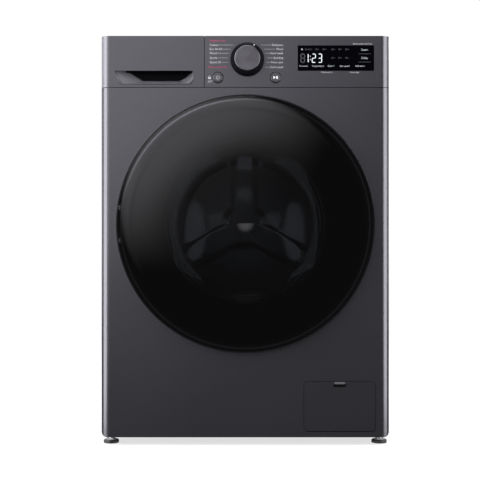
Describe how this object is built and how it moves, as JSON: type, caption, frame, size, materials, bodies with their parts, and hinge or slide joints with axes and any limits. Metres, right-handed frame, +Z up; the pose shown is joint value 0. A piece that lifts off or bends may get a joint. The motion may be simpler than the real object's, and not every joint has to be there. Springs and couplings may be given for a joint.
{
  "type": "front load washing machine",
  "caption": "Dark graphite front load washing machine with a round glass porthole door, detergent drawer, programme knob, display strip and a lower filter flap.",
  "frame": {"origin": "on the floor, under the centre of the bounding box", "axes": "+X to the right seen from the front, +Y to the rear, +Z up; the door faces -Y"},
  "size_m": [0.6, 0.6199, 0.85],
  "materials": {
    "graphite_paint": "metallic satin",
    "graphite_plastic": "metallic satin",
    "black_gloss": "high gloss",
    "black_satin": "satin",
    "grey_plastic": "moulded",
    "light_plastic": "moulded",
    "silver_cap": "metallic",
    "clear_glass": "clear",
    "smoked_glass": "tinted, gloss",
    "black_glass": "gloss",
    "steel": "brushed",
    "drum_steel": "polished",
    "zinc": "cast",
    "galvanised": "galvanised",
    "grey_rubber": "moulded",
    "black_rubber": "moulded",
    "concrete": "cast, rough",
    "copper_motor": "wound",
    "board_green": "circuit board",
    "white_plastic": "moulded",
    "blue_plastic": "moulded"
  },
  "bodies": {
    "cabinet": {"cabinet_sides": "graphite_paint", "cabinet_back": "graphite_paint", "base_pan": "black_satin", "worktop": "graphite_plastic", "front_panel": "graphite_paint", "control_panel": "graphite_plastic", "display_lens": "black_glass", "control_board": "board_green", "dispenser_housing": "light_plastic", "inlet_valve": "white_plastic", "inlet_hose": "grey_rubber", "door_lock": "black_satin", "hinge_bracket": "zinc", "top_brace": "galvanised", "rear_cover": "galvanised", "pump_housing": "light_plastic", "drain_tube": "grey_plastic", "damper_cylinders": "black_satin", "rear_plugs": "black_satin", "cabinet_fixings": "steel", "filter_surround": "black_satin"},
    "foot_fl": {"foot_front_left": "black_rubber"},
    "foot_fr": {"foot_front_right": "black_rubber"},
    "foot_rl": {"foot_rear_left": "black_rubber"},
    "foot_rr": {"foot_rear_right": "black_rubber"},
    "tub": {"tub_front": "light_plastic", "tub_rear": "light_plastic", "tub_seal": "black_rubber", "counterweights": "concrete", "heater": "steel", "drum_bearings": "steel", "stator": "copper_motor", "damper_rods": "light_plastic", "door_gasket": "grey_rubber", "suspension_springs": "steel", "sump_hose": "black_rubber", "fill_hose": "black_rubber"},
    "drum": {"drum_front": "drum_steel", "drum_shell": "drum_steel", "drum_back": "drum_steel", "drum_lifters": "grey_plastic", "drum_spider": "zinc", "rotor": "galvanised", "rotor_bolt": "steel"},
    "door": {"door_rim": "black_gloss", "door_cover": "smoked_glass", "door_bowl": "clear_glass", "door_inner_frame": "black_satin", "door_hinge_leaf": "zinc"},
    "hook": {"door_hook": "black_satin"},
    "drawer": {"drawer_front": "graphite_plastic", "drawer_tray": "light_plastic"},
    "siphon": {"siphon_cap": "blue_plastic"},
    "knob": {"knob_base": "black_gloss", "knob_cap": "silver_cap"},
    "power": {"power_button": "graphite_plastic"},
    "start": {"start_button": "graphite_plastic"},
    "flap": {"filter_flap": "graphite_plastic"},
    "filter": {"drain_filter": "black_satin"},
    "impeller": {"pump_impeller": "white_plastic"}
  },
  "joints": [
    {"name": "door_swing", "type": "hinge", "parent": "cabinet", "child": "door", "pos_m": [-0.255, -0.274, 0.46], "axis": [0, 0, -1], "range_deg": [0, 120]},
    {"name": "hook_tilt", "type": "hinge", "parent": "door", "child": "hook", "pos_m": [0.222, -0.258, 0.46], "axis": [0, 0, -1], "range_deg": [0, 10], "stiffness_Nm_per_rad": 0.06, "springref_deg": -11.46},
    {"name": "tub_bounce", "type": "slide", "parent": "cabinet", "child": "tub", "axis": [0, 0, 1], "range_m": [-0.012, 0.012], "stiffness_N_per_m": 20000, "springref_m": 0.01413, "deforming": ["door_gasket", "suspension_springs", "sump_hose", "fill_hose"]},
    {"name": "drum_spin", "type": "hinge", "parent": "tub", "child": "drum", "pos_m": [0, 0.01, 0.46], "axis": [0, -1, 0], "continuous": true},
    {"name": "drawer_slide", "type": "slide", "parent": "cabinet", "child": "drawer", "axis": [0, -1, 0], "range_m": [0, 0.2]},
    {"name": "siphon_lift", "type": "slide", "parent": "drawer", "child": "siphon", "axis": [0, 0, 1], "range_m": [0, 0.014]},
    {"name": "knob_turn", "type": "hinge", "parent": "cabinet", "child": "knob", "pos_m": [0.004, -0.255, 0.801], "axis": [0, -1, 0], "continuous": true},
    {"name": "power_press", "type": "slide", "parent": "cabinet", "child": "power", "axis": [0, 1, 0], "range_m": [0, 0.0015], "stiffness_N_per_m": 800, "springref_m": -0.0005},
    {"name": "start_press", "type": "slide", "parent": "cabinet", "child": "start", "axis": [0, 1, 0], "range_m": [0, 0.0015], "stiffness_N_per_m": 800, "springref_m": -0.0005},
    {"name": "flap_open", "type": "hinge", "parent": "cabinet", "child": "flap", "pos_m": [0.196, -0.2505, 0.0405], "axis": [1, 0, 0], "range_deg": [0, 90]},
    {"name": "filter_turn", "type": "hinge", "parent": "cabinet", "child": "filter", "pos_m": [0.196, -0.2358, 0.075], "axis": [0, 1, 0], "range_deg": [0, 270]},
    {"name": "impeller_spin", "type": "hinge", "parent": "cabinet", "child": "impeller", "pos_m": [0.196, -0.13, 0.075], "axis": [0, 1, 0], "continuous": true},
    {"name": "foot_fl_height", "type": "slide", "parent": "cabinet", "child": "foot_fl", "axis": [0, 0, 1], "range_m": [-0.012, 0]},
    {"name": "foot_fr_height", "type": "slide", "parent": "cabinet", "child": "foot_fr", "axis": [0, 0, 1], "range_m": [-0.012, 0]},
    {"name": "foot_rl_height", "type": "slide", "parent": "cabinet", "child": "foot_rl", "axis": [0, 0, 1], "range_m": [-0.012, 0]},
    {"name": "foot_rr_height", "type": "slide", "parent": "cabinet", "child": "foot_rr", "axis": [0, 0, 1], "range_m": [-0.012, 0]}
  ]
}
